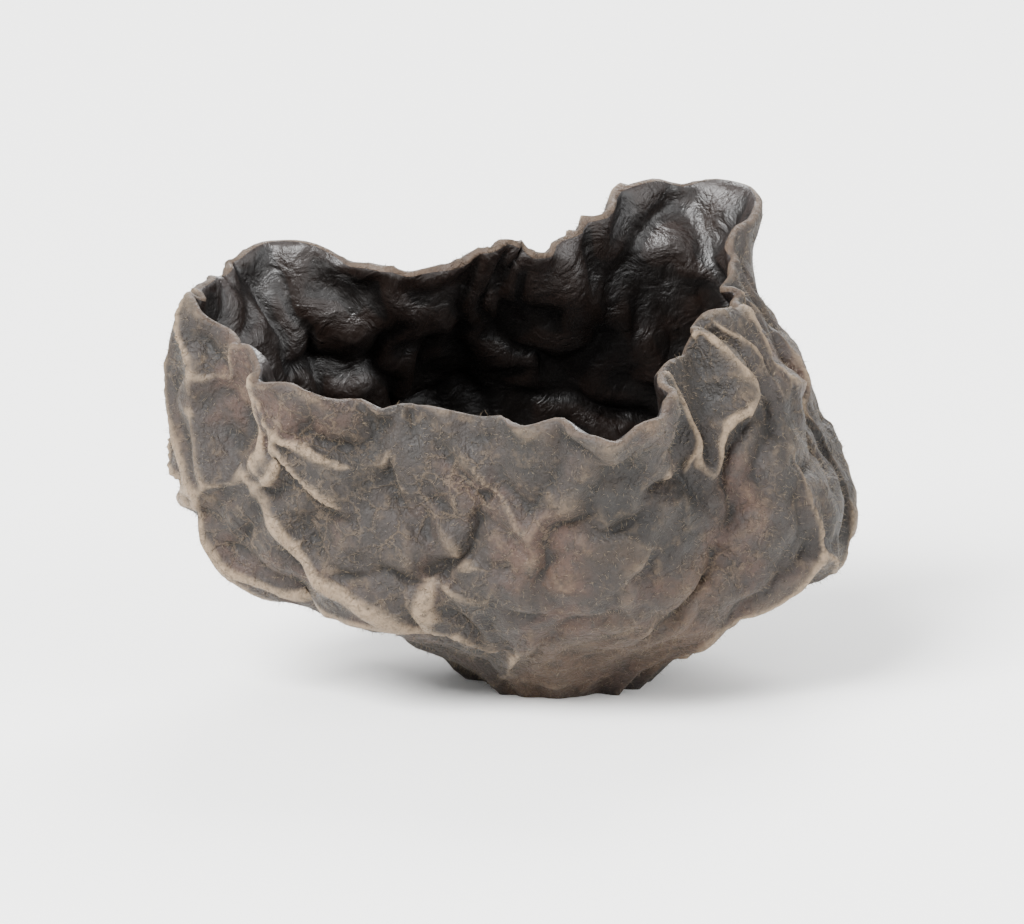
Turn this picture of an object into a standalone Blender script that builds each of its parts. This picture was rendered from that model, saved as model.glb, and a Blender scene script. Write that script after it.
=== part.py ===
"""A dried wood ear mushroom, a thin crumpled cup that stands on the face where it was cut from its log.

The fungus grew as one piece, so it is one solid. It is made as it forms: a flat round sheet, closed
all over, whose points are then carried to their places on the curled ear. A point of the sheet is
named by its share of the way from the cut to the rim, its direction round the cup, and its side.
Directions are in degrees from +X towards +Y, and the front of the ear is at 270.
"""

import math

import bmesh
import bpy
import numpy as np

MM = 0.001

# The sheet, dried
SHEET_LENGTH = 12.6 * MM  # from the middle of the cut to the rim, on average
BACK_LONGER_BY = 1.6 * MM  # the back wall stands higher than the front one
KNOB_DEPTH = 2.1 * MM  # how far the knob stands out below the sheet's middle, before the cut
WALL_OF_CUP = 1.15 * MM
WALL_AT_RIM = 0.80 * MM
KNOB_ENDS = 0.27  # share of the way to the rim where the knob has thinned to the cup's wall
CUT_OFF = 1.15 * MM  # how much of the knob the cut took away

# The cup
WALL_TURN = 108.0  # degrees that the wall has turned from level when it reaches the rim
BACK_TURNS_BY = 13.0  # the back wall curls further forward by this, and the front wall less
BEND_STARTS, BEND_ENDS = 0.06, 0.70  # shares of the way between which most of the turn happens
LIP_STARTS = 0.72  # where a lip begins to roll out
WIDE, DEEP = 1.52, 1.13  # the plan is an oval, wider along X
OVAL_STARTS, OVAL_ENDS = 0.10, 0.55  # shares of the way between which the round foot becomes that oval
LEAN = (-0.08, 0.02)  # the walls lean to the left and a little back as they rise

# What varies with direction: (direction, half width, amount), each a smooth hump
RIM_LOBES = (  # share of the sheet's length added
    (218, 20, 0.05),
    (278, 18, 0.05),
    (325, 22, 0.12),
    (15, 18, 0.04),
    (58, 22, 0.12),
    (108, 22, 0.08),
    (152, 18, 0.06),
    (190, 20, 0.10),
)
WALL_CURLS = (  # degrees of turn added
    (250, 36, -6),
    (189, 24, -6),
    (326, 24, 14),
    (60, 24, -6),
    (108, 22, 10),
)
LIP_ROLLS = (  # degrees that the lip turns back outwards
    (284, 16, 58),
    (56, 18, 50),
    (222, 14, 30),
    (158, 16, 38),
)
OUTLINE = (  # share of the cup's radius added
    (188, 18, 0.10),
    (284, 18, 0.03),
    (335, 20, 0.06),
    (35, 16, 0.05),
    (112, 18, 0.05),
)
PLEATS = (  # metres that the wall folds inwards
    (250, 14, 0.85 * MM),
    (307, 12, 0.95 * MM),
    (4, 15, 0.95 * MM),
    (84, 14, 1.10 * MM),
    (133, 15, 1.15 * MM),
    (205, 13, 0.40 * MM),
)
PLEATS_START = 0.30  # share of the way at which the folds begin

# The mesh
RINGS = 24  # from the middle to the rim
SECTORS = 80  # round the cup
RIM_ARCS = 4  # facets round the rim's edge
MERIDIAN_STEPS = 32
SLOPE_STEP = 0.004  # share of the way used to measure the sheet's slope

SKIN_COLOUR = (0.060, 0.043, 0.033, 1.0)
SKIN_ROUGHNESS = 0.62


def smooth_step(start, end, value):
    """0 before start, 1 after end, and a smooth ramp between."""
    share = np.clip((value - start) / (end - start), 0.0, 1.0)
    return share * share * (3.0 - 2.0 * share)


def humps(direction, rows):
    """The sum of the smooth humps in rows, in each direction."""
    total = np.zeros_like(direction)
    for centre, half_width, amount in rows:
        away = np.angle(np.exp(1j * (direction - math.radians(centre))))
        total += amount * np.exp(-((away / math.radians(half_width)) ** 2))
    return total


def sheet_length(direction):
    """Length of the sheet from the cut to the rim."""
    own_length = SHEET_LENGTH + BACK_LONGER_BY * np.sin(direction)
    return own_length * (0.95 + humps(direction, RIM_LOBES))


def wall_profile(share, direction):
    """Distance out from the axis and height of the sheet's middle, found by walking up the wall."""
    full_turn = np.radians(WALL_TURN + BACK_TURNS_BY * np.sin(direction) + humps(direction, WALL_CURLS))
    lip_turn = np.radians(humps(direction, LIP_ROLLS))
    out = np.zeros_like(share)
    height = np.zeros_like(share)
    for step in range(MERIDIAN_STEPS):
        here = share * (step + 0.5) / MERIDIAN_STEPS
        turned = full_turn * (0.72 * smooth_step(BEND_STARTS, BEND_ENDS, here) + 0.28 * here)
        turned -= lip_turn * smooth_step(LIP_STARTS, 1.0, here)
        out += np.cos(turned)
        height += np.sin(turned)
    stride = share * sheet_length(direction) / MERIDIAN_STEPS
    return out * stride, height * stride


def curled_sheet(share, direction):
    """The middle of the sheet once curled, before it folds."""
    out, height = wall_profile(share, direction)
    radius = out * (1.0 + humps(direction, OUTLINE) * smooth_step(0.15, 0.8, share))
    oval = smooth_step(OVAL_STARTS, OVAL_ENDS, share)
    return np.stack(
        [
            radius * np.cos(direction) * (1.0 + (WIDE - 1.0) * oval) + LEAN[0] * height,
            radius * np.sin(direction) * (1.0 + (DEEP - 1.0) * oval) + LEAN[1] * height,
            height,
        ],
        axis=-1,
    )


def outward(surface, share, direction):
    """Unit normal of a surface function, pointing away from the inside of the cup."""
    turn = SLOPE_STEP / np.maximum(share, 0.05)
    above = surface(share + SLOPE_STEP, direction)
    below = surface(np.maximum(share - SLOPE_STEP, 1e-4), direction)
    round_the_cup = surface(share, direction + turn) - surface(share, direction - turn)
    normal = np.cross(round_the_cup, above - below)
    return normal / np.linalg.norm(normal, axis=-1, keepdims=True)


def folded_sheet(share, direction):
    """The middle of the sheet, curled and folded."""
    fold_depth = humps(direction, PLEATS) * smooth_step(PLEATS_START, 1.0, share)
    return (
        curled_sheet(share, direction)
        - outward(curled_sheet, share, direction) * fold_depth[..., None]
    )


def face_offset(share, side):
    """How far a face lies from the sheet's middle. Side is 1 outside, where the knob is, and -1 inside."""
    half_wall = (WALL_OF_CUP + (WALL_AT_RIM - WALL_OF_CUP) * share) / 2.0
    knob = (KNOB_DEPTH - half_wall) * (1.0 - smooth_step(0.0, KNOB_ENDS, share))
    return side * half_wall + np.maximum(side, 0.0) * knob


def ear_point(share, direction, side):
    """Where a point of the sheet lies on the ear, with the cut at height 0."""
    offset = face_offset(share, side)
    point = folded_sheet(share, direction) + outward(folded_sheet, share, direction) * offset[..., None]
    return point + np.array([0.0, 0.0, KNOB_DEPTH - CUT_OFF])


def flat_sheet():
    """A round sheet of radius 1, closed all over: z is -1 on the outer face and 1 on the inner one.

    It is a grid rolled round the middle, each column of the grid a ring of the sheet.
    """
    mesh = bmesh.new()
    outline = [(ring / RINGS, -1.0) for ring in range(RINGS + 1)]
    edge_bulge = 0.5 * WALL_AT_RIM / SHEET_LENGTH
    for arc in range(1, RIM_ARCS):
        angle = math.pi * (arc / RIM_ARCS - 0.5)
        outline.append((1.0 + edge_bulge * math.cos(angle), math.sin(angle)))
    outline += [(ring / RINGS, 1.0) for ring in range(RINGS, -1, -1)]
    bmesh.ops.create_grid(mesh, x_segments=len(outline) - 1, y_segments=SECTORS, size=0.5)
    for point in mesh.verts:
        out, height = outline[round((point.co.x + 0.5) * (len(outline) - 1))]
        sector = round((point.co.y + 0.5) * SECTORS) % SECTORS
        turn = math.tau * sector / SECTORS
        point.co = (out * math.cos(turn), out * math.sin(turn), height)
    bmesh.ops.remove_doubles(mesh, verts=mesh.verts, dist=1e-5)
    bmesh.ops.recalc_face_normals(mesh, faces=mesh.faces)
    return mesh


def grow(mesh):
    """Carries the flat sheet's points to the curled ear."""
    flat = np.array([point.co for point in mesh.verts])
    share = np.maximum(np.hypot(flat[:, 0], flat[:, 1]), 1e-4)
    direction = np.arctan2(flat[:, 1], flat[:, 0])
    for point, place in zip(mesh.verts, ear_point(share, direction, -flat[:, 2])):
        point.co = place


def cut_from_log(mesh):
    """Slices the knob off flat at height 0, where the ear was cut from the wood."""
    everything = mesh.verts[:] + mesh.edges[:] + mesh.faces[:]
    bmesh.ops.bisect_plane(
        mesh,
        geom=everything,
        dist=1e-6,
        plane_co=(0.0, 0.0, 0.0),
        plane_no=(0.0, 0.0, -1.0),
        clear_outer=True,
    )
    open_edges = [edge for edge in mesh.edges if edge.is_boundary]
    bmesh.ops.holes_fill(mesh, edges=open_edges)
    bmesh.ops.recalc_face_normals(mesh, faces=mesh.faces)


def stand_over_origin(mesh):
    """Slides the ear sideways until the middle of its plan is over the origin."""
    for axis in (0, 1):
        reach = [point.co[axis] for point in mesh.verts]
        middle = (min(reach) + max(reach)) / 2.0
        for point in mesh.verts:
            point.co[axis] -= middle


def dried_skin():
    """The dark grey-brown skin."""
    material = bpy.data.materials.new("dried_skin")
    material.use_nodes = True
    shader = material.node_tree.nodes["Principled BSDF"]
    shader.inputs["Base Color"].default_value = SKIN_COLOUR
    shader.inputs["Roughness"].default_value = SKIN_ROUGHNESS
    shader.inputs["Metallic"].default_value = 0.0
    return material


def wood_ear():
    """The whole fungus, one solid."""
    mesh = flat_sheet()
    grow(mesh)
    cut_from_log(mesh)
    stand_over_origin(mesh)
    data = bpy.data.meshes.new("wood_ear")
    mesh.to_mesh(data)
    mesh.free()
    data.materials.append(dried_skin())
    data.shade_smooth()
    data.set_sharp_from_angle(angle=math.radians(60))
    ear = bpy.data.objects.new("wood_ear", data)
    bpy.context.scene.collection.objects.link(ear)
    return ear


for old in list(bpy.data.objects):
    bpy.data.objects.remove(old, do_unlink=True)
wood_ear()
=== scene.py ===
"""The looks of a dried wood ear mushroom: its crumpled sheet, its down, its finishes and a studio.

The ear is grown flat and dried. A round sheet is carried to the cupped shape that the frame holds,
then a cloth simulation lets its rim keep more length than its foot, which crumples it as drying does.
The crumpled sheet is given its two faces, its rim, its knob and the fine relief of its skin, and short
pale hairs stand on its outer face. Directions are in degrees from +X towards +Y, and a share is how far
a point lies from the foot (0) to the rim (1).
"""

from __future__ import annotations

import logging
import math
from dataclasses import dataclass
from enum import Enum
from typing import Any, Callable, NamedTuple, Sequence

import bmesh
import bpy
import numpy as np
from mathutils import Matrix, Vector, noise

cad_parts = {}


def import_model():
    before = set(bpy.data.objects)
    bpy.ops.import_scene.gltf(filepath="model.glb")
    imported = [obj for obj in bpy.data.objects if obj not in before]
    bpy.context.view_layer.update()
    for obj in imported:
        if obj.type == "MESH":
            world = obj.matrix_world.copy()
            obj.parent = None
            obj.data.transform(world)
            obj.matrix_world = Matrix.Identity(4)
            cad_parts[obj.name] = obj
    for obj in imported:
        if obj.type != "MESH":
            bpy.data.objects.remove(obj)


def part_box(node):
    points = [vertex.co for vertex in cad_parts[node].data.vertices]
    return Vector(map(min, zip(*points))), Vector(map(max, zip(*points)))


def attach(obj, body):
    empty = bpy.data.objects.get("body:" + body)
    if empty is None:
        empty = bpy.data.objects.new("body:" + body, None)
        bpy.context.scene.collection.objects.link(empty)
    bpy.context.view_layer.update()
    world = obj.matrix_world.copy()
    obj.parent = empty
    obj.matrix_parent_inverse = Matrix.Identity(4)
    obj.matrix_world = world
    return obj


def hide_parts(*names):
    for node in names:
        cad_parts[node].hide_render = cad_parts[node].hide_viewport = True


MM = 0.001
NOISE_SEED = 5
WANDER_OFFSET = Vector((7.0, 3.0, 1.0))
FADE_OFFSET = Vector((31.0, 5.0, 9.0))
LOG = logging.getLogger("wood_ear")
Surface = Callable[[np.ndarray, np.ndarray], np.ndarray]


class Side(Enum):
    """The two faces of the sheet, with the sign that says how far out they lie."""

    OUTER = 1.0
    INNER = -1.0


class Hump(NamedTuple):
    """A smooth hump in one direction round the cup."""

    centre: float
    half_width: float
    amount: float


def smooth_step(start: float, end: float, value: np.ndarray) -> np.ndarray:
    """Ramps smoothly between two values.

    Args:
        start: Where the ramp leaves 0.
        end: Where the ramp reaches 1.
        value: The values to place on the ramp.

    Returns:
        The height of the ramp at each value.
    """
    share = np.clip((value - start) / (end - start), 0.0, 1.0)
    return share * share * (3.0 - 2.0 * share)


def humps(direction: np.ndarray, rows: Sequence[Hump]) -> np.ndarray:
    """Sums smooth humps.

    Args:
        direction: Directions round the cup, in radians.
        rows: The humps to add up.

    Returns:
        Their sum in each direction.
    """
    total = np.zeros_like(direction)
    for hump in rows:
        away = np.angle(np.exp(1j * (direction - math.radians(hump.centre))))
        total += hump.amount * np.exp(-((away / math.radians(hump.half_width)) ** 2))
    return total


@dataclass(frozen=True)
class CupForm:
    """The cupped shape that the frame holds, before the sheet crumples. Lengths are in metres."""

    sheet_length: float = 12.6 * MM
    back_longer_by: float = 1.6 * MM
    knob_depth: float = 2.1 * MM
    knob_ends: float = 0.27
    cut_off: float = 1.15 * MM
    wall_of_cup: float = 1.15 * MM
    wall_at_rim: float = 0.80 * MM
    wall_turn: float = 108.0
    back_turns_by: float = 13.0
    bend: tuple[float, float] = (0.06, 0.70)
    bend_share: float = 0.72
    even_share: float = 0.28
    lip_starts: float = 0.72
    wide: float = 1.52
    deep: float = 1.13
    oval: tuple[float, float] = (0.10, 0.55)
    lean: tuple[float, float] = (-0.08, 0.02)
    between_lobes: float = 0.95
    rim_lobes: tuple[Hump, ...] = (
        Hump(218, 20, 0.05),
        Hump(278, 18, 0.05),
        Hump(325, 22, 0.12),
        Hump(15, 18, 0.04),
        Hump(58, 22, 0.12),
        Hump(108, 22, 0.08),
        Hump(152, 18, 0.06),
        Hump(190, 20, 0.10),
    )
    wall_curls: tuple[Hump, ...] = (
        Hump(250, 36, -6),
        Hump(189, 24, -6),
        Hump(326, 24, 14),
        Hump(60, 24, -6),
        Hump(108, 22, 10),
    )
    lip_rolls: tuple[Hump, ...] = (
        Hump(284, 16, 58),
        Hump(56, 18, 50),
        Hump(222, 14, 30),
        Hump(158, 16, 38),
    )
    outline_grows: tuple[float, float] = (0.15, 0.8)
    outline: tuple[Hump, ...] = (
        Hump(188, 18, 0.10),
        Hump(284, 18, 0.03),
        Hump(335, 20, 0.06),
        Hump(35, 16, 0.05),
        Hump(112, 18, 0.05),
    )
    pleats: tuple[Hump, ...] = (
        Hump(250, 14, 0.85 * MM),
        Hump(307, 12, 0.95 * MM),
        Hump(4, 15, 0.95 * MM),
        Hump(84, 14, 1.10 * MM),
        Hump(133, 15, 1.15 * MM),
        Hump(205, 13, 0.40 * MM),
    )
    pleats_start: float = 0.30
    meridian_steps: int = 32
    slope_step: float = 0.004
    least_share: float = 1e-4
    least_turning_share: float = 0.05

    def profile(self, share: np.ndarray, direction: np.ndarray) -> tuple[np.ndarray, np.ndarray]:
        """Walks up the wall from the foot.

        Args:
            share: How far up the wall to go.
            direction: Which way, in radians.

        Returns:
            The distance out from the axis and the height there.
        """
        turn = self.wall_turn + self.back_turns_by * np.sin(direction) + humps(direction, self.wall_curls)
        lip = np.radians(humps(direction, self.lip_rolls))
        out = np.zeros_like(share)
        height = np.zeros_like(share)
        for step in range(self.meridian_steps):
            here = share * (step + 0.5) / self.meridian_steps
            bent = self.bend_share * smooth_step(*self.bend, here) + self.even_share * here
            turned = np.radians(turn) * bent
            turned -= lip * smooth_step(self.lip_starts, 1.0, here)
            out += np.cos(turned)
            height += np.sin(turned)
        length = self.sheet_length + self.back_longer_by * np.sin(direction)
        lobed = self.between_lobes + humps(direction, self.rim_lobes)
        stride = share * length * lobed / self.meridian_steps
        return out * stride, height * stride

    def curled(self, share: np.ndarray, direction: np.ndarray) -> np.ndarray:
        """The sheet's middle once curled, before it folds.

        Args:
            share: Shares of the way to the rim.
            direction: Directions, in radians.

        Returns:
            Points, one row each.
        """
        out, height = self.profile(share, direction)
        grown = smooth_step(*self.outline_grows, share)
        radius = out * (1.0 + humps(direction, self.outline) * grown)
        oval = smooth_step(*self.oval, share)
        return np.stack(
            [
                radius * np.cos(direction) * (1.0 + (self.wide - 1.0) * oval) + self.lean[0] * height,
                radius * np.sin(direction) * (1.0 + (self.deep - 1.0) * oval) + self.lean[1] * height,
                height,
            ],
            axis=-1,
        )

    def outward(self, surface: Surface, share: np.ndarray, direction: np.ndarray) -> np.ndarray:
        """Unit normals of a surface function, pointing out of the cup.

        Args:
            surface: A function of share and direction that gives points.
            share: Shares of the way to the rim.
            direction: Directions, in radians.

        Returns:
            Unit normals, one row each.
        """
        turn = self.slope_step / np.maximum(share, self.least_turning_share)
        above = surface(share + self.slope_step, direction)
        below = surface(np.maximum(share - self.slope_step, self.least_share), direction)
        round_the_cup = surface(share, direction + turn) - surface(share, direction - turn)
        normal = np.cross(round_the_cup, above - below)
        return normal / np.linalg.norm(normal, axis=-1, keepdims=True)

    def folded(self, share: np.ndarray, direction: np.ndarray) -> np.ndarray:
        """The sheet's middle, curled and folded.

        Args:
            share: Shares of the way to the rim.
            direction: Directions, in radians.

        Returns:
            Points, one row each.
        """
        depth = humps(direction, self.pleats) * smooth_step(self.pleats_start, 1.0, share)
        inward = -self.outward(self.curled, share, direction)
        return self.curled(share, direction) + inward * depth[..., None]

    def face(self, share: np.ndarray, direction: np.ndarray, side: Side) -> np.ndarray:
        """A face of the solid that the frame holds.

        Args:
            share: Shares of the way to the rim.
            direction: Directions, in radians.
            side: Which face.

        Returns:
            Points, one row each, with the foot's axis at the origin and the cut at height 0.
        """
        offset = side.value * (self.wall_of_cup + (self.wall_at_rim - self.wall_of_cup) * share) / 2.0
        if side is Side.OUTER:
            offset += (self.knob_depth - offset) * (1.0 - smooth_step(0.0, self.knob_ends, share))
        point = self.folded(share, direction)
        point += self.outward(self.folded, share, direction) * offset[..., None]
        return point + np.array([0.0, 0.0, self.knob_depth - self.cut_off])


@dataclass(frozen=True)
class CreaseNetwork:
    """Pinched ridges that run over the flat sheet and meet in knots, as they do on a dried ear.

    The ridges follow the borders of uneven cells, and fade in and out along their length. Their
    crests are sharp where rounding is 1 and round where it is 2.
    """

    cell: float = 3.6 * MM
    width: float = 0.45 * MM
    rounding: float = 1.0
    wander: float = 0.35
    wander_scale: float = 0.9
    seed: float = 3.0
    presence: float = 0.75
    fade: float = 1.6
    fade_scale: float = 0.8

    def height(self, flat: np.ndarray) -> np.ndarray:
        """Height of the ridges.

        Args:
            flat: Points of the flat sheet, in metres, one row each.

        Returns:
            0 away from the ridges to 1 on their crests.
        """
        heights = np.empty(len(flat))
        for index, (across, along) in enumerate(flat[:, :2] / self.cell):
            spot = Vector((across, along, self.seed))
            moved = spot + self.wander * noise.noise_vector(spot * self.wander_scale + WANDER_OFFSET)
            moved.z = self.seed
            near, next_near = noise.voronoi(moved)[0][:2]
            kept = self.presence + self.fade * noise.noise(spot * self.fade_scale + FADE_OFFSET)
            pinch = math.exp(-(((next_near - near) * self.cell / self.width) ** self.rounding))
            heights[index] = pinch * min(1.0, max(0.0, kept))
        return heights


@dataclass
class DriedSheet:
    """The thin sheet, cupped and then crumpled by drying."""

    form: CupForm
    creases: CreaseNetwork
    rings: int = 34
    sectors: int = 132
    crease_depth: float = 0.50 * MM
    crease_sinks: float = 0.25
    creases_start: tuple[float, float] = (0.05, 0.3)
    enlarged: float = 50.0
    frames: int = 24
    foot_keeps: float = 0.06
    rim_keeps: float = 0.25
    loose_from: float = 0.15
    held: float = 0.6
    held_fades: tuple[float, float] = (0.05, 0.5)
    waver: float = 0.01
    waver_scale: float = 14.0
    calm_rounds: int = 24
    calm_ends: tuple[float, float] = (0.08, 0.45)

    def flat_disc(self) -> bmesh.types.BMesh:
        """Makes the flat round sheet of radius 1, a grid rolled round its centre.

        Returns:
            The sheet, its faces looking down.
        """
        disc = bmesh.new()
        bmesh.ops.create_grid(disc, x_segments=self.rings, y_segments=self.sectors, size=0.5)
        for point in disc.verts:
            share = round((point.co.x + 0.5) * self.rings) / self.rings
            sector = round((point.co.y + 0.5) * self.sectors) % self.sectors
            turn = math.tau * sector / self.sectors
            point.co = (share * math.cos(turn), share * math.sin(turn), 0.0)
        bmesh.ops.remove_doubles(disc, verts=disc.verts, dist=1e-5)
        bmesh.ops.reverse_faces(disc, faces=disc.faces)
        return disc

    def mesh(self) -> bpy.types.Mesh:
        """Makes the cupped sheet, with its place on the flat sheet kept in the attribute flat.

        Returns:
            A mesh, enlarged to a size that the simulation works well at.
        """
        disc = self.flat_disc()
        data = bpy.data.meshes.new("dried_sheet")
        disc.to_mesh(data)
        disc.free()
        flat = read_points(data)
        share = np.maximum(np.hypot(flat[:, 0], flat[:, 1]), self.form.least_share)
        direction = np.arctan2(flat[:, 1], flat[:, 0])
        flat *= self.form.sheet_length
        places = data.attributes.new("flat", "FLOAT_VECTOR", "POINT")
        places.data.foreach_set("vector", flat.astype(np.float32).ravel())
        started = smooth_step(*self.creases_start, share)
        rise = self.crease_depth * (self.creases.height(flat) - self.crease_sinks) * started
        points = self.form.folded(share, direction)
        points += self.form.outward(self.form.folded, share, direction) * rise[:, None]
        points *= self.enlarged
        waver = [noise.noise_vector(Vector(point) * self.waver_scale) for point in points]
        write_points(data, points + np.array(waver) * self.waver)
        return data

    def dry(self) -> bpy.types.Mesh:
        """Crumples the sheet: its rim keeps more of its length than its foot, which stays calm.

        Returns:
            The crumpled middle of the sheet, at its real size.
        """
        data = self.mesh()
        sheet = bpy.data.objects.new("dried_sheet", data)
        bpy.context.scene.collection.objects.link(sheet)
        self.add_weights(sheet)
        self.add_cloth(sheet)
        for frame_number in range(1, self.frames + 1):
            bpy.context.scene.frame_set(frame_number)
        crumpled = sheet.evaluated_get(bpy.context.evaluated_depsgraph_get())
        points = read_points(crumpled.data)
        sheet.modifiers.clear()
        bpy.context.scene.frame_set(1)
        write_points(data, points)
        bpy.data.objects.remove(sheet)
        points = read_points(data) / self.enlarged
        share = np.linalg.norm(read_vectors(data, "flat"), axis=1) / self.form.sheet_length
        kept = smooth_step(*self.calm_ends, share)[:, None]
        calm = relaxed(data, points, self.calm_rounds)
        write_points(data, calm + (points - calm) * kept)
        return data

    def add_weights(self, sheet: bpy.types.Object) -> None:
        """Gives the sheet its vertex groups: foot shrinks fully, and held stays near its place.

        Args:
            sheet: The cupped sheet.
        """
        flat = np.linalg.norm(read_vectors(sheet.data, "flat"), axis=1) / self.form.sheet_length
        foot = 1.0 - smooth_step(self.loose_from, 1.0, flat)
        held = np.maximum(self.held, 1.0 - smooth_step(*self.held_fades, flat))
        for name, weights in (("foot", foot), ("held", held)):
            group = sheet.vertex_groups.new(name=name)
            for index, weight in enumerate(weights):
                group.add([index], float(weight), "REPLACE")

    def add_cloth(self, sheet: bpy.types.Object) -> None:
        """Adds the drying simulation to the sheet.

        Args:
            sheet: The cupped sheet, with its vertex groups.
        """
        cloth = sheet.modifiers.new("drying", "CLOTH")
        skin = cloth.settings
        skin.quality = 4
        skin.mass = 0.3
        skin.tension_stiffness = skin.compression_stiffness = 40.0
        skin.shear_stiffness = 12.0
        skin.bending_stiffness = 0.5
        skin.tension_damping = skin.compression_damping = skin.shear_damping = 15.0
        skin.bending_damping = 2.0
        skin.air_damping = 4.0
        skin.vertex_group_shrink = "foot"
        skin.shrink_min = -self.rim_keeps
        skin.shrink_max = -self.foot_keeps
        skin.vertex_group_mass = "held"
        skin.pin_stiffness = 1.0
        skin.effector_weights.gravity = 0.0
        touch = cloth.collision_settings
        touch.use_self_collision = True
        touch.self_distance_min = 0.012
        touch.self_friction = 2.0
        touch.collision_quality = 1
        cloth.point_cache.frame_start = 1
        cloth.point_cache.frame_end = self.frames


def read_rows(items: bpy.types.bpy_prop_collection, key: str, width: int = 3) -> np.ndarray:
    """Reads a row of numbers from each part of a mesh.

    Args:
        items: The mesh's points, their normals or an attribute's values.
        key: What to read from each.
        width: How many numbers that is.

    Returns:
        The rows, or a plain list where the width is 1.
    """
    numbers = np.empty(len(items) * width, np.float32)
    items.foreach_get(key, numbers)
    rows = numbers.astype(float)
    return rows.reshape(-1, width) if width > 1 else rows


def read_points(data: bpy.types.Mesh) -> np.ndarray:
    """The mesh's points, one row each."""
    return read_rows(data.vertices, "co")


def read_normals(data: bpy.types.Mesh) -> np.ndarray:
    """The mesh's point normals, one row each."""
    return read_rows(data.vertex_normals, "vector")


def read_vectors(data: bpy.types.Mesh, name: str) -> np.ndarray:
    """The rows of a vector attribute."""
    return read_rows(data.attributes[name].data, "vector")


def read_values(data: bpy.types.Mesh, name: str) -> np.ndarray:
    """The values of a number attribute."""
    return read_rows(data.attributes[name].data, "value", 1)


def write_points(data: bpy.types.Mesh, points: np.ndarray) -> None:
    """Moves the mesh's points to the rows given."""
    data.vertices.foreach_set("co", points.astype(np.float32).ravel())
    data.update()


def write_values(data: bpy.types.Mesh, name: str, values: np.ndarray) -> None:
    """Stores one number for each point of the mesh, in an attribute of that name."""
    data.attributes.new(name, "FLOAT", "POINT").data.foreach_set("value", values.astype(np.float32))


def relaxed(data: bpy.types.Mesh, points: np.ndarray, rounds: int) -> np.ndarray:
    """Moves each point to the middle of its neighbours, several times over.

    Args:
        data: The mesh, for its edges.
        points: Where its points are.
        rounds: How many times to move them.

    Returns:
        The relaxed points.
    """
    ends = np.empty(len(data.edges) * 2, np.int32)
    data.edges.foreach_get("vertices", ends)
    first, second = ends.reshape(-1, 2).T
    count = np.bincount(np.concatenate([first, second]), minlength=len(points))
    for _ in range(rounds):
        middles = np.empty_like(points)
        for axis in range(points.shape[1]):
            sums = np.bincount(first, points[second, axis], len(points))
            sums += np.bincount(second, points[first, axis], len(points))
            middles[:, axis] = sums / np.maximum(count, 1)
        points = middles
    return points


def add(
    tree: bpy.types.NodeTree, kind: str, settings: dict[str, Any] | None = None, **inputs: Any
) -> bpy.types.Node:
    """Adds a node to a material.

    Args:
        tree: The material's nodes.
        kind: The node's type.
        settings: The node's own properties.
        inputs: Its sockets, with spaces written as _, each given a value or another node's output.
            A name such as _6 means the seventh socket.

    Returns:
        The new node.
    """
    node = tree.nodes.new(kind)
    for name, value in (settings or {}).items():
        setattr(node, name, value)
    for name, value in inputs.items():
        socket = node.inputs[int(name[1:]) if name[1:].isdigit() else name.replace("_", " ")]
        if isinstance(value, bpy.types.NodeSocket):
            tree.links.new(value, socket)
        else:
            socket.default_value = value
    return node


def linear(colour: str) -> tuple[float, float, float, float]:
    """Turns an sRGB hex colour into the linear numbers that shaders use."""
    parts = [int(colour[start : start + 2], 16) / 255.0 for start in (1, 3, 5)]
    return (*(part / 12.92 if part <= 0.04045 else ((part + 0.055) / 1.055) ** 2.4 for part in parts), 1.0)


def per_mm(size: float) -> float:
    """The scale that makes a pattern repeat about once in this many millimetres."""
    return 1.0 / (size * MM)


def new_material(name: str) -> tuple[bpy.types.Material, bpy.types.NodeTree, bpy.types.Node]:
    """Starts a node material.

    Args:
        name: What it is called.

    Returns:
        The material, its nodes and its shader.
    """
    material = bpy.data.materials.new(name)
    material.use_nodes = True
    return material, material.node_tree, material.node_tree.nodes["Principled BSDF"]


@dataclass(frozen=True)
class Wash:
    """A colour laid on as a value runs from start to end, at most this strongly."""

    value: bpy.types.NodeSocket
    start: float
    end: float
    most: float
    colour: str


def washed(tree: bpy.types.NodeTree, base: str, washes: Sequence[Wash]) -> bpy.types.NodeSocket:
    """Lays washes over a base colour, one after another.

    Args:
        tree: The material's nodes.
        base: The colour underneath.
        washes: The washes, the last on top.

    Returns:
        The finished colour.
    """
    tone = linear(base)
    for wash in washes:
        share = add(
            tree,
            "ShaderNodeMapRange",
            {"interpolation_type": "SMOOTHSTEP"},
            Value=wash.value,
            From_Min=wash.start,
            From_Max=wash.end,
            To_Max=wash.most,
        ).outputs["Result"]
        over = linear(wash.colour)
        tone = add(tree, "ShaderNodeMix", {"data_type": "RGBA"}, _0=share, _6=tone, _7=over).outputs[2]
    return tone


def finish(
    tree: bpy.types.NodeTree,
    shader: bpy.types.Node,
    colour: bpy.types.NodeSocket,
    relief: Sequence[tuple[bpy.types.NodeSocket, float]],
) -> None:
    """Gives a shader its colour and its fine relief.

    Args:
        tree: The material's nodes.
        shader: The shader.
        colour: The base colour.
        relief: Heights, the coarsest first, each with how high it stands in metres.
    """
    tree.links.new(colour, shader.inputs["Base Color"])
    under = {}
    for height, rise in relief:
        bump = add(tree, "ShaderNodeBump", Height=height, Distance=rise, **under)
        under = {"Normal": bump.outputs["Normal"]}
    tree.links.new(under["Normal"], shader.inputs["Normal"])


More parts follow.
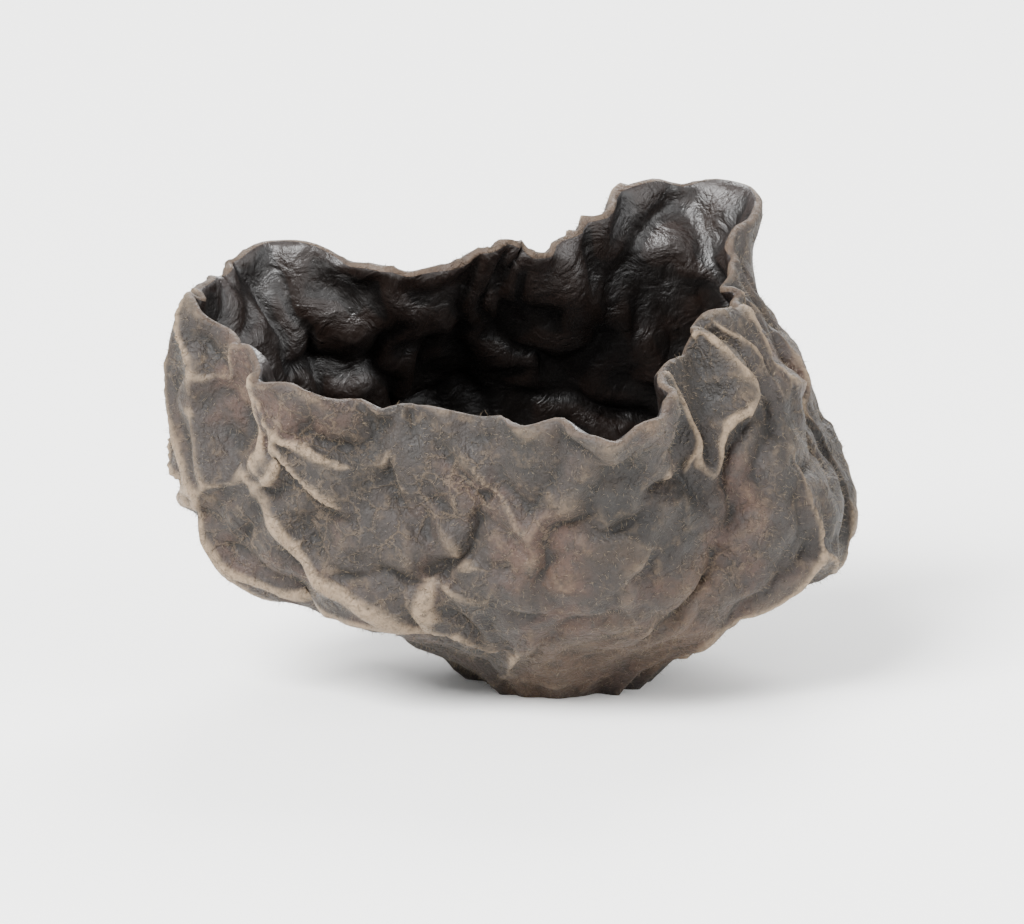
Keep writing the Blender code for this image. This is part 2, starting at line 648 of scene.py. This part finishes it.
@dataclass(frozen=True)
class OuterSkin:
    """The sterile outer face of a dried ear.

    Dried jelly tissue under a mat of short hairs: a dull grey-brown leather, blotched pinkish and
    tan, with its pinched ridges drawn pale. Its convex crests are lightened as painted highlight, its
    hollows darkened as painted shade, and its thin rim turned paler and warmer as a painted glow of
    light through the edge. It scatters light broadly, so it is rough, with a little of the soft edge
    brightness that down gives. The mat's own grain is too fine to show, so the grain here is drawn a
    few times as coarse.
    """

    shade: str = "#130f0c"
    body: str = "#1f1814"
    pinkish: str = "#36251d"
    golden: str = "#382716"
    # Pale tone of the ridges, mottles and veins, also laid on convex crests as a painted highlight.
    ridge: str = "#826f59"
    # Near black: painted shade laid in the concave hollows, and also the tone of the dark grain specks.
    hollow: str = "#0b0806"
    # Paler warm rim tone: a painted glow of light through the thin edge, which also hides where the outer
    # and inner finishes meet.
    rim: str = "#3a2c21"
    sheen: str = "#cdbfa8"
    blotch: float = per_mm(3.2)
    patch: float = per_mm(5.3)
    mottle: float = per_mm(0.55)
    vein: float = per_mm(0.60)
    vein_strays: float = 0.9 * MM
    grain: float = per_mm(0.16)

    def material(self) -> bpy.types.Material:
        """Builds the finish.

        Returns:
            The material, which reads the attributes ridge, crest and side.
        """
        material, tree, shader = new_material("dried_outer_skin")
        place = add(tree, "ShaderNodeTexCoord").outputs["Object"]
        ridge = add(tree, "ShaderNodeAttribute", {"attribute_name": "ridge"}).outputs["Fac"]
        crest = add(tree, "ShaderNodeAttribute", {"attribute_name": "crest"}).outputs["Fac"]
        side = add(tree, "ShaderNodeAttribute", {"attribute_name": "side"}).outputs["Fac"]
        blotches = add(
            tree, "ShaderNodeTexNoise", Vector=place, Scale=self.blotch, Detail=4.0, Roughness=0.6
        )
        patches = add(tree, "ShaderNodeTexNoise", Vector=place, Scale=self.patch, Detail=2.0)
        mottles = add(
            tree, "ShaderNodeTexNoise", Vector=place, Scale=self.mottle, Detail=5.0, Roughness=0.65
        )
        grains = add(tree, "ShaderNodeTexNoise", Vector=place, Scale=self.grain, Detail=2.0, Roughness=0.6)
        veins = self.veins(tree, place, mottles.outputs["Color"], blotches.outputs["Color"])

        washes = [
            Wash(blotches.outputs["Fac"], 0.50, 0.36, 1.0, self.shade),
            Wash(blotches.outputs["Fac"], 0.50, 0.66, 1.0, self.pinkish),
            Wash(patches.outputs["Fac"], 0.54, 0.70, 0.75, self.golden),
            Wash(mottles.outputs["Fac"], 0.52, 0.74, 0.20, self.ridge),
            Wash(mottles.outputs["Fac"], 0.48, 0.30, 0.55, self.shade),
            # Painted shade: concave hollows darkened towards near black.
            Wash(crest, -0.02, -0.30, 0.85, self.hollow),
            # Painted highlight: convex crests lightened towards the pale ridge tone.
            Wash(crest, 0.20, 0.75, 0.30, self.ridge),
            Wash(veins, 0.20, 1.00, 0.26, self.ridge),
            Wash(ridge, 0.30, 0.95, 0.68, self.ridge),
            # Painted glow of light through the thin rim: the edge turns paler and warmer.
            Wash(side, 0.95, 0.35, 0.70, self.rim),
            Wash(grains.outputs["Fac"], 0.52, 0.30, 0.40, self.hollow),
        ]
        relief = [
            (mottles.outputs["Fac"], 0.16 * MM),
            (veins, 0.04 * MM),
            (grains.outputs["Fac"], 0.05 * MM),
        ]
        finish(tree, shader, washed(tree, self.body, washes), relief)
        rough = add(
            tree,
            "ShaderNodeMapRange",
            Value=mottles.outputs["Fac"],
            From_Min=0.3,
            From_Max=0.7,
            To_Min=0.56,
            To_Max=0.80,
        )
        tree.links.new(rough.outputs["Result"], shader.inputs["Roughness"])
        shader.inputs["IOR"].default_value = 1.45
        shader.inputs["Sheen Weight"].default_value = 0.06
        shader.inputs["Sheen Roughness"].default_value = 0.5
        shader.inputs["Sheen Tint"].default_value = linear(self.sheen)
        return material

    def veins(
        self,
        tree: bpy.types.NodeTree,
        place: bpy.types.NodeSocket,
        stray: bpy.types.NodeSocket,
        breaks: bpy.types.NodeSocket,
    ) -> bpy.types.NodeSocket:
        """Draws the fine pale veins, a wandering net broken here and there.

        Args:
            tree: The material's nodes.
            place: Where the surface is.
            stray: A pattern that makes the veins wander.
            breaks: A pattern that breaks them off.

        Returns:
            1 in the middle of a vein to 0 away from it.
        """
        strayed = add(
            tree, "ShaderNodeMix", {"data_type": "VECTOR"}, _0=self.vein_strays, _4=place, _5=stray
        )
        edges = add(
            tree,
            "ShaderNodeTexVoronoi",
            {"feature": "DISTANCE_TO_EDGE"},
            Vector=strayed.outputs[1],
            Scale=self.vein,
        )
        kept = add(tree, "ShaderNodeMapRange", Value=breaks, From_Min=0.42, From_Max=0.62)
        drawn = add(
            tree,
            "ShaderNodeMapRange",
            Value=edges.outputs["Distance"],
            From_Min=0.10,
            From_Max=0.0,
            To_Max=kept.outputs["Result"],
        )
        return drawn.outputs["Result"]


@dataclass(frozen=True)
class InnerSkin:
    """The spore-bearing inner face: dried smooth jelly, near black, with the soft gloss of horn."""

    deep: str = "#070504"
    body: str = "#0e0a08"
    # The warm brown of the blotches, also laid on convex crests as a painted highlight.
    warm_and_crest_highlight: str = "#1c120d"
    # Paler rim tone: a painted glow of light through the thin edge, which also hides where the inner and
    # outer finishes meet.
    rim: str = "#2c2019"
    blotch: float = per_mm(2.4)
    wrinkle: float = per_mm(0.7)
    grain: float = per_mm(0.14)

    def material(self) -> bpy.types.Material:
        """Builds the finish.

        Returns:
            The material, which reads the attributes crest and side.
        """
        material, tree, shader = new_material("dried_inner_skin")
        place = add(tree, "ShaderNodeTexCoord").outputs["Object"]
        crest = add(tree, "ShaderNodeAttribute", {"attribute_name": "crest"}).outputs["Fac"]
        side = add(tree, "ShaderNodeAttribute", {"attribute_name": "side"}).outputs["Fac"]
        blotches = add(
            tree, "ShaderNodeTexNoise", Vector=place, Scale=self.blotch, Detail=4.0, Roughness=0.6
        )
        wrinkles = add(
            tree,
            "ShaderNodeTexNoise",
            Vector=place,
            Scale=self.wrinkle,
            Detail=5.0,
            Roughness=0.6,
            Distortion=0.8,
        )
        grains = add(tree, "ShaderNodeTexNoise", Vector=place, Scale=self.grain, Detail=2.0)

        washes = [
            Wash(blotches.outputs["Fac"], 0.55, 0.35, 1.0, self.deep),
            Wash(blotches.outputs["Fac"], 0.55, 0.75, 1.0, self.warm_and_crest_highlight),
            # Painted highlight: convex crests lightened towards the warm brown.
            Wash(crest, 0.05, 0.35, 0.60, self.warm_and_crest_highlight),
            # Painted glow of light through the thin rim: the edge turns paler.
            Wash(side, -0.98, -0.80, 0.80, self.rim),
        ]
        relief = [(wrinkles.outputs["Fac"], 0.14 * MM), (grains.outputs["Fac"], 0.016 * MM)]
        finish(tree, shader, washed(tree, self.body, washes), relief)
        rough = add(
            tree,
            "ShaderNodeMapRange",
            Value=wrinkles.outputs["Fac"],
            From_Min=0.3,
            From_Max=0.7,
            To_Min=0.34,
            To_Max=0.55,
        )
        tree.links.new(rough.outputs["Result"], shader.inputs["Roughness"])
        shader.inputs["IOR"].default_value = 1.50
        return material


@dataclass(frozen=True)
class CutFace:
    """The flat cut through the knob: dry, pale, fibrous tissue with a few bark-brown specks."""

    pale: str = "#a38f72"
    body: str = "#7d6850"
    dark: str = "#3e3026"
    fibre: float = per_mm(0.35)

    def material(self) -> bpy.types.Material:
        """Builds the finish.

        Returns:
            The material.
        """
        material, tree, shader = new_material("cut_knob_tissue")
        place = add(tree, "ShaderNodeTexCoord").outputs["Object"]
        drawn_out = add(tree, "ShaderNodeMapping", Vector=place, Scale=(1.0, 0.3, 1.0)).outputs["Vector"]
        fibres = add(
            tree, "ShaderNodeTexNoise", Vector=drawn_out, Scale=self.fibre, Detail=5.0, Roughness=0.7
        )
        washes = [
            Wash(fibres.outputs["Fac"], 0.50, 0.34, 1.0, self.dark),
            Wash(fibres.outputs["Fac"], 0.50, 0.68, 1.0, self.pale),
        ]
        finish(tree, shader, washed(tree, self.body, washes), [(fibres.outputs["Fac"], 0.11 * MM)])
        shader.inputs["Roughness"].default_value = 0.88
        return material


@dataclass(frozen=True)
class PaleDown:
    """The short dry hairs of the outer face: hollow and colourless, so pale where they catch light."""

    tip: str
    root: str = "#1c1612"

    def material(self) -> bpy.types.Material:
        """Builds the finish.

        Returns:
            The material.
        """
        material, tree, shader = new_material("pale_down")
        along = add(tree, "ShaderNodeAttribute", {"attribute_name": "along"}).outputs["Fac"]
        tone = washed(tree, self.root, [Wash(along, 0.0, 0.5, 1.0, self.tip)])
        tree.links.new(tone, shader.inputs["Base Color"])
        shader.inputs["Roughness"].default_value = 0.55
        shader.inputs["IOR"].default_value = 1.50
        return material


@dataclass
class Flesh:
    """The ear's tissue: the crumpled sheet with its two faces, rim, knob and cut."""

    form: CupForm
    sheet: DriedSheet
    wall: float = 0.50 * MM
    rim_wall: float = 0.34 * MM
    ridge_rise: float = 0.15 * MM
    wrinkle_rise: float = 0.06 * MM
    grain_rise: float = 0.022 * MM
    grain_size: float = 0.33 * MM
    knob_blends: tuple[float, float] = (0.10, 0.32)
    knob_pleats: float = 0.38 * MM
    pleats_fade: tuple[float, float] = (0.20, 0.55)
    pleats_round: float = 2.6
    pleat_wanders: float = 1.6 * MM
    pleat_crest: float = 0.8
    pleat_fall: float = 2.2
    pleat_droop: float = 0.4
    least_lift: float = 0.12 * MM
    hair_room: float = 0.22 * MM
    fine_mesh_from: float = -0.2
    smoothed_from: float = 0.1
    smoothing_rounds: int = 2
    inner_skin_below: float = -0.8
    relief_starts: tuple[float, float] = (0.0, 0.7)
    ridges_start: tuple[float, float] = (0.12, 0.30)
    wrinkle_paleness: float = 0.45
    crest_rounds: int = 14
    crest_height: float = 0.25 * MM
    ridges: CreaseNetwork = CreaseNetwork(width=0.15 * MM, rounding=2.0, presence=0.50)
    wrinkles: CreaseNetwork = CreaseNetwork(
        cell=0.95 * MM, width=0.16 * MM, rounding=2.0, seed=11.0, presence=0.40
    )

    def shell(self, middle: bpy.types.Mesh) -> bpy.types.Mesh:
        """Gives the crumpled sheet its two faces and closes its rim.

        Args:
            middle: The middle of the sheet, its faces looking out of the cup.

        Returns:
            A closed mesh with the attribute side, 1 on the outer face and -1 on the inner one.
        """
        work = bmesh.new()
        work.from_mesh(middle)
        side = work.verts.layers.float.new("side")
        flat = work.verts.layers.float_vector["flat"]
        work.normal_update()
        outer = work.verts[:]
        for point in outer:
            point[side] = Side.OUTER.value
        copied = bmesh.ops.duplicate(work, geom=work.verts[:] + work.edges[:] + work.faces[:])["geom"]
        inner = [part for part in copied if isinstance(part, bmesh.types.BMVert)]
        inner_faces = [part for part in copied if isinstance(part, bmesh.types.BMFace)]
        for point in inner:
            point[side] = Side.INNER.value
        work.normal_update()
        for point in work.verts:
            share = point[flat].length / self.form.sheet_length
            half = (self.wall + (self.rim_wall - self.wall) * share) / 2.0
            point.co += point.normal * half * point[side]
            point.co.z += self.form.knob_depth - self.form.cut_off
            if share > self.form.knob_ends:
                point.co.z = max(point.co.z, self.least_lift)
        self.add_knob(outer, flat)
        bmesh.ops.reverse_faces(work, faces=inner_faces)
        bmesh.ops.bridge_loops(work, edges=[edge for edge in work.edges if edge.is_boundary])
        data = bpy.data.meshes.new("wood_ear_flesh")
        work.to_mesh(data)
        work.free()
        return data

    def add_knob(self, points: list[bmesh.types.BMVert], flat: bmesh.types.BMLayerItem) -> None:
        """Draws the outer face down into the solid knob, with pleats that run up from it.

        Args:
            points: The points of the outer face.
            flat: The layer that holds their places on the flat sheet.
        """
        places = np.array([point[flat] for point in points])
        reach = np.linalg.norm(places, axis=1) / self.form.sheet_length
        share = np.maximum(reach, self.form.least_share)
        direction = np.arctan2(places[:, 1], places[:, 0])
        knob = self.form.face(share, direction, Side.OUTER)
        kept = smooth_step(*self.knob_blends, share)
        pleated = self.knob_pleats * (1.0 - smooth_step(*self.pleats_fade, share))
        for point, target, keep, heading, depth in zip(points, knob, kept, direction, pleated):
            if depth > 0.0:
                radial = Vector((math.cos(heading), math.sin(heading), 0.0))
                spot = self.pleats_round * radial + Vector((0.0, 0.0, point.co.z / self.pleat_wanders))
                pleat = self.pleat_crest - self.pleat_fall * abs(noise.noise(spot))
                point.co = Vector(target).lerp(point.co, keep)
                point.co += (radial - Vector((0.0, 0.0, self.pleat_droop))) * pleat * depth

    def refined(self, data: bpy.types.Mesh) -> bpy.types.Mesh:
        """Rounds the shell, and gives its outer face twice as fine a mesh as its inner one.

        Args:
            data: The closed shell.

        Returns:
            The rounded mesh, its outer face in the first material and its inner one in the second.
        """
        holder = bpy.data.objects.new("wood_ear_flesh", data)
        bpy.context.scene.collection.objects.link(holder)
        rounding = holder.modifiers.new("rounding", "SUBSURF")
        rounding.levels = rounding.render_levels = 1
        final = holder.evaluated_get(bpy.context.evaluated_depsgraph_get())
        rounded = bpy.data.meshes.new_from_object(final)
        bpy.data.objects.remove(holder)
        work = bmesh.new()
        work.from_mesh(rounded)
        side = work.verts.layers.float["side"]
        outer_edges = [
            edge for edge in work.edges if min(point[side] for point in edge.verts) > self.fine_mesh_from
        ]
        bmesh.ops.subdivide_edges(work, edges=outer_edges, cuts=1, use_grid_fill=True)
        outer = [point for point in work.verts if point[side] > self.smoothed_from]
        for _ in range(self.smoothing_rounds):
            bmesh.ops.smooth_vert(
                work, verts=outer, factor=0.5, use_axis_x=True, use_axis_y=True, use_axis_z=True
            )
        bmesh.ops.triangulate(work, faces=[face for face in work.faces if len(face.verts) > 4])
        for face in work.faces:
            face.smooth = True
            mean = sum(point[side] for point in face.verts) / len(face.verts)
            face.material_index = 0 if mean > self.inner_skin_below else 1
        work.to_mesh(rounded)
        work.free()
        rounded.name = "wood_ear_flesh"
        return rounded

    def add_relief(self, data: bpy.types.Mesh) -> None:
        """Raises the ridges, wrinkles and grain of the outer face.

        Args:
            data: The rounded mesh. It gains the attributes ridge and crest, which the finishes read.
        """
        points = read_points(data)
        normals = read_normals(data)
        side = read_values(data, "side")
        flat = read_vectors(data, "flat")
        on_outer = smooth_step(*self.relief_starts, side)
        share = np.linalg.norm(flat, axis=1) / self.form.sheet_length
        off_knob = smooth_step(*self.ridges_start, share)
        chosen = np.flatnonzero(on_outer > 0.0)
        ridge = np.zeros(len(points))
        wrinkle = np.zeros(len(points))
        grain = np.zeros(len(points))
        ridge[chosen] = self.ridges.height(flat[chosen]) * off_knob[chosen]
        wrinkle[chosen] = self.wrinkles.height(flat[chosen])
        grain[chosen] = [noise.noise(Vector(point)) for point in points[chosen] / self.grain_size]
        rise = self.ridge_rise * ridge + self.wrinkle_rise * wrinkle + self.grain_rise * grain
        points += normals * (rise * on_outer)[:, None]
        write_points(data, points)
        # crest: how proud each point stands over its smoothed neighbours. The finishes use it to paint
        # highlight on crests and shade in hollows.
        proud = points - relaxed(data, points, self.crest_rounds)
        crest = (proud * read_normals(data)).sum(axis=1) / self.crest_height
        write_values(data, "ridge", np.clip(ridge + self.wrinkle_paleness * wrinkle, 0.0, 1.0))
        write_values(data, "crest", np.clip(crest, -1.0, 1.0))

    def cut_flat(self, data: bpy.types.Mesh) -> None:
        """Slices the knob off at height 0 and closes the cut, in the third material.

        Args:
            data: The ear, its knob reaching below height 0.
        """
        work = bmesh.new()
        work.from_mesh(data)
        everything = work.verts[:] + work.edges[:] + work.faces[:]
        bmesh.ops.bisect_plane(
            work,
            geom=everything,
            dist=1e-7,
            plane_co=(0.0, 0.0, 0.0),
            plane_no=(0.0, 0.0, -1.0),
            clear_outer=True,
        )
        border = [edge for edge in work.edges if edge.is_boundary]
        closed = bmesh.ops.holes_fill(work, edges=border)["faces"]
        for edge in border:
            edge.smooth = False
        for face in closed:
            face.material_index = 2
            face.smooth = False
        bmesh.ops.triangulate(work, faces=closed)
        work.to_mesh(data)
        work.free()

    def fit(self, data: bpy.types.Mesh, low: Vector, high: Vector) -> None:
        """Sets the ear in the frame's box, with room round it for the down.

        Args:
            data: The ear, with its foot's axis at the origin and its cut at height 0.
            low: The lowest corner of the frame's ear.
            high: Its highest corner.
        """
        points = read_points(data)
        # Hairs need room at both ends of the width and the depth, but not at the floor.
        room = np.array(high) - np.array(low) - 2.0 * self.hair_room * np.array([1.0, 1.0, 0.5])
        reach = points.max(axis=0) - np.array([*points.min(axis=0)[:2], 0.0])
        points *= np.minimum(1.0, room / reach)
        middle = (points.min(axis=0) + points.max(axis=0))[:2] / 2.0
        points[:, :2] += (np.array(low) + np.array(high))[:2] / 2.0 - middle
        write_points(data, points)

    def build(self, low: Vector, high: Vector) -> bpy.types.Object:
        """Makes the ear's flesh.

        Args:
            low: The lowest corner of the frame's ear.
            high: Its highest corner.

        Returns:
            The finished piece, which stands for the frame's ear.
        """
        data = self.refined(self.shell(self.sheet.dry()))
        self.add_relief(data)
        self.cut_flat(data)
        self.fit(data, low, high)
        for tissue in (OuterSkin(), InnerSkin(), CutFace()):
            data.materials.append(tissue.material())
        flesh = bpy.data.objects.new("wood_ear_flesh", data)
        bpy.context.scene.collection.objects.link(flesh)
        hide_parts("wood_ear")
        return flesh


@dataclass(frozen=True)
class HairKind:
    """One kind of hair: how many, how long, how thick, how bent, how far from upright and how pale.

    Real hairs are finer and stand many times closer. These are as thick as they need to be to show.
    """

    name: str
    hairs: int
    shortest: float
    longest: float
    thickness: float
    bend: float
    lean: float
    joints: int
    tip: str


NAP = HairKind(
    name="wood_ear_nap",
    hairs=40000,
    shortest=0.04 * MM,
    longest=0.10 * MM,
    thickness=0.0045 * MM,
    bend=0.0,
    lean=0.9,
    joints=0,
    tip="#4e4337",
)
LONG_HAIRS = HairKind(
    name="wood_ear_long_hairs",
    hairs=12000,
    shortest=0.10 * MM,
    longest=0.24 * MM,
    thickness=0.0055 * MM,
    bend=0.40,
    lean=0.6,
    joints=1,
    tip="#7f705b",
)


@dataclass
class Down:
    """The short pale hairs of the outer face, each a thin spike."""

    flesh: bpy.types.Object
    kind: HairKind
    seed: int = 7
    outer_from: float = 0.6
    least_height: float = 0.1 * MM
    root_depth: float = 0.08

    def spike(self) -> tuple[np.ndarray, list[list[int]]]:
        """One hair of length 1 and radius 1 along Z.

        Returns:
            Its points, and its faces as lists of point numbers.
        """
        work = bmesh.new()
        bmesh.ops.create_cone(work, cap_ends=True, segments=3, radius1=1.0, radius2=0.0, depth=1.0)
        bmesh.ops.translate(work, verts=work.verts, vec=(0.0, 0.0, 0.5))
        uprights = [edge for edge in work.edges if abs(edge.verts[0].co.z - edge.verts[1].co.z) > 0.5]
        if self.kind.joints:
            bmesh.ops.subdivide_edges(work, edges=uprights, cuts=self.kind.joints)
        work.verts.index_update()
        points = np.array([point.co for point in work.verts])
        faces = [[point.index for point in face.verts] for face in work.faces]
        work.free()
        return points, faces

    def roots(self, random: np.random.Generator) -> tuple[np.ndarray, np.ndarray]:
        """Scatters the hairs' roots over the outer face.

        Args:
            random: Where the chance comes from.

        Returns:
            The roots and the skin's normals there, one row each.
        """
        data = self.flesh.data
        data.calc_loop_triangles()
        triangles = np.empty(len(data.loop_triangles) * 3, np.int32)
        data.loop_triangles.foreach_get("vertices", triangles)
        triangles = triangles.reshape(-1, 3)
        points = read_points(data)
        on_outer = read_values(data, "side")[triangles].min(axis=1) > self.outer_from
        off_floor = points[triangles, 2].min(axis=1) > self.least_height
        triangles = triangles[on_outer & off_floor]
        one, two, three = (points[triangles[:, corner]] for corner in range(3))
        area = np.linalg.norm(np.cross(two - one, three - one), axis=1)
        picked = triangles[random.choice(len(triangles), self.kind.hairs, p=area / area.sum())]
        weights = random.dirichlet((1.0, 1.0, 1.0), self.kind.hairs)[:, :, None]
        normals = (read_normals(data)[picked] * weights).sum(axis=1)
        normals /= np.linalg.norm(normals, axis=1, keepdims=True)
        return (points[picked] * weights).sum(axis=1), normals

    def build(self) -> bpy.types.Object:
        """Makes the down as one mesh.

        Returns:
            The finished piece.
        """
        kind = self.kind
        random = np.random.default_rng(self.seed)
        spike, faces = self.spike()
        roots, normals = self.roots(random)
        heading = normals + kind.lean * random.normal(size=normals.shape)
        heading /= np.linalg.norm(heading, axis=1, keepdims=True)
        across = np.cross(heading, random.normal(size=heading.shape))
        across /= np.linalg.norm(across, axis=1, keepdims=True)
        third = np.cross(heading, across)
        length = random.uniform(kind.shortest, kind.longest, kind.hairs)[:, None]
        points = np.empty((kind.hairs, len(spike), 3))
        for number, (x, y, z) in enumerate(spike):
            stem = roots + heading * length * (z - self.root_depth) + across * length * kind.bend * z * z
            points[:, number] = stem + (across * x + third * y) * kind.thickness
        points[:, :, 2] = np.maximum(points[:, :, 2], 0.0)
        rows = (np.arange(kind.hairs) * len(spike))[:, None]
        all_faces = [row for face in faces for row in (rows + np.array(face)).tolist()]
        data = bpy.data.meshes.new(kind.name)
        data.from_pydata(points.reshape(-1, 3), [], all_faces)
        data.shade_smooth()
        write_values(data, "along", np.tile(spike[:, 2], kind.hairs))
        data.materials.append(PaleDown(kind.tip).material())
        down = bpy.data.objects.new(kind.name, data)
        bpy.context.scene.collection.objects.link(down)
        return down


@dataclass
class Studio:
    """A pale floor, soft light and the camera."""

    view_width: float = 26.0 * MM
    view_height: float = 5.8 * MM
    distance: float = 260.0 * MM
    elevation: float = 14.0
    floor_size: float = 3.0
    floor_colour: str = "#f8f8f6"
    air_colour: str = "#f6f7fa"
    air_strength: float = 1.0
    lamp_size: float = 0.30

    def build(self) -> None:
        """Sets up the studio."""
        self.add_floor()
        self.add_world()
        self.add_lamp("key_light", (-0.26, -0.30, 0.42), 12.5)
        self.add_lamp("fill_light", (0.42, -0.22, 0.20), 2.2)
        self.add_lamp("back_light", (0.10, 0.46, 0.34), 5.0)
        self.add_camera()

    def add_floor(self) -> None:
        """Lays the floor."""
        work = bmesh.new()
        bmesh.ops.create_grid(work, x_segments=1, y_segments=1, size=self.floor_size / 2.0)
        data = bpy.data.meshes.new("studio_floor")
        work.to_mesh(data)
        work.free()
        material, _, shader = new_material("matt_paper")
        shader.inputs["Base Color"].default_value = linear(self.floor_colour)
        shader.inputs["Roughness"].default_value = 0.9
        data.materials.append(material)
        floor = bpy.data.objects.new("studio_floor", data)
        bpy.context.scene.collection.objects.link(floor)

    def add_world(self) -> None:
        """Fills the studio with even pale light."""
        world = bpy.data.worlds.new("studio_air")
        world.use_nodes = True
        background = world.node_tree.nodes["Background"]
        background.inputs["Color"].default_value = linear(self.air_colour)
        background.inputs["Strength"].default_value = self.air_strength
        bpy.context.scene.world = world

    def add_lamp(self, name: str, place: tuple[float, float, float], power: float) -> None:
        """Hangs a soft square light that faces the ear.

        Args:
            name: What it is called.
            place: Where it hangs, in metres.
            power: Its power in watts.
        """
        data = bpy.data.lights.new(name, "AREA")
        data.size = self.lamp_size
        data.energy = power
        lamp = bpy.data.objects.new(name, data)
        lamp.location = place
        lamp.rotation_euler = (-Vector(place)).to_track_quat("-Z", "Y").to_euler()
        bpy.context.scene.collection.objects.link(lamp)

    def add_camera(self) -> None:
        """Places the camera in front of the ear, looking slightly down on it."""
        data = bpy.data.cameras.new("camera")
        data.lens = data.sensor_width * self.distance / self.view_width
        data.clip_start = 0.01
        tilt = math.radians(self.elevation)
        camera = bpy.data.objects.new("camera", data)
        height = self.view_height + self.distance * math.sin(tilt)
        camera.location = (0.0, -self.distance * math.cos(tilt), height)
        camera.rotation_euler = (math.pi / 2.0 - tilt, 0.0, 0.0)
        bpy.context.scene.collection.objects.link(camera)
        bpy.context.scene.camera = camera


def main() -> None:
    """Builds the ear and its studio on the frame."""
    logging.basicConfig(level=logging.INFO, format="%(name)s: %(message)s")
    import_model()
    noise.seed_set(NOISE_SEED)
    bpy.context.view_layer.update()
    form = CupForm()
    sheet = DriedSheet(form, CreaseNetwork())
    flesh = Flesh(form, sheet).build(*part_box("wood_ear"))
    down = [Down(flesh, kind).build() for kind in (NAP, LONG_HAIRS)]
    for piece in (flesh, *down):
        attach(piece, "root")
        LOG.info("%s has %d faces", piece.name, len(piece.data.polygons))
    Studio().build()


if __name__ == "__main__":
    main()
